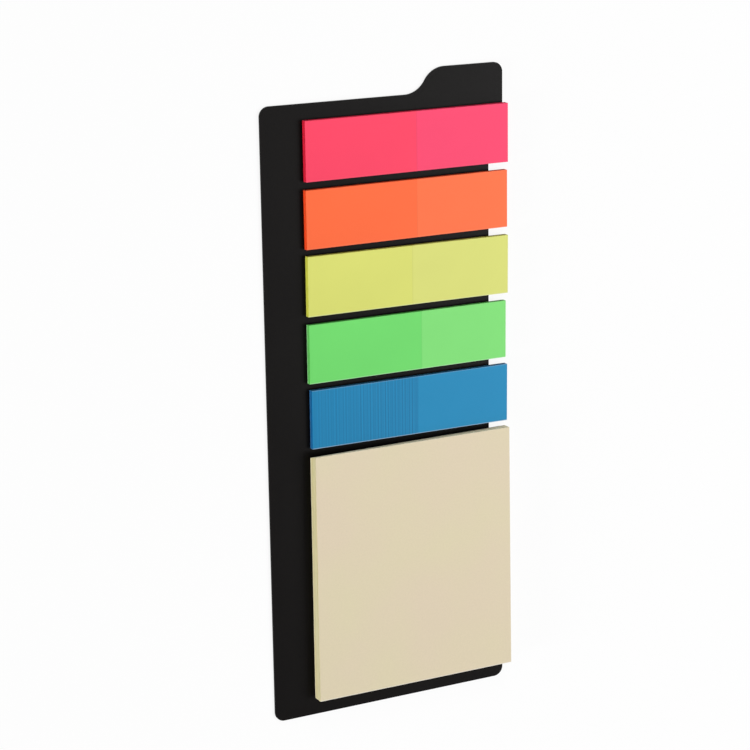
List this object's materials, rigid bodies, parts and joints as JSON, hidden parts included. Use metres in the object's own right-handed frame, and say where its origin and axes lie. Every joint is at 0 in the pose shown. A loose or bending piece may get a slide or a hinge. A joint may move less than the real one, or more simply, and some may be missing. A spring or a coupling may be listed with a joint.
{
  "type": "sticky note set",
  "caption": "Stacks of coloured film index flags and a cream note pad, stuck to a black backing card with rounded corners, an index tab and an edge recess.",
  "frame": {"origin": "middle of the set's outline, on the underside of the backing card, which lies on its back", "axes": "+X across the card towards the flags' free ends, +Y up the card towards the index tab, +Z out of the front face"},
  "size_m": [0.0536, 0.1302, 0.0029],
  "materials": {
    "card_black": "satin black sheet with a fine grain",
    "film_pink": "satin neon pink film",
    "film_orange": "satin neon orange film",
    "film_yellow": "satin neon yellow film",
    "film_green": "satin neon green film",
    "film_blue": "satin blue film",
    "paper_cream": "uncoated cream paper"
  },
  "bodies": {
    "root": {"backing_card": "card_black", "flag_stack_pink": "film_pink", "flag_stack_orange": "film_orange", "flag_stack_yellow": "film_yellow", "flag_stack_green": "film_green", "flag_stack_blue": "film_blue", "note_pad": "paper_cream"}
  },
  "joints": []
}
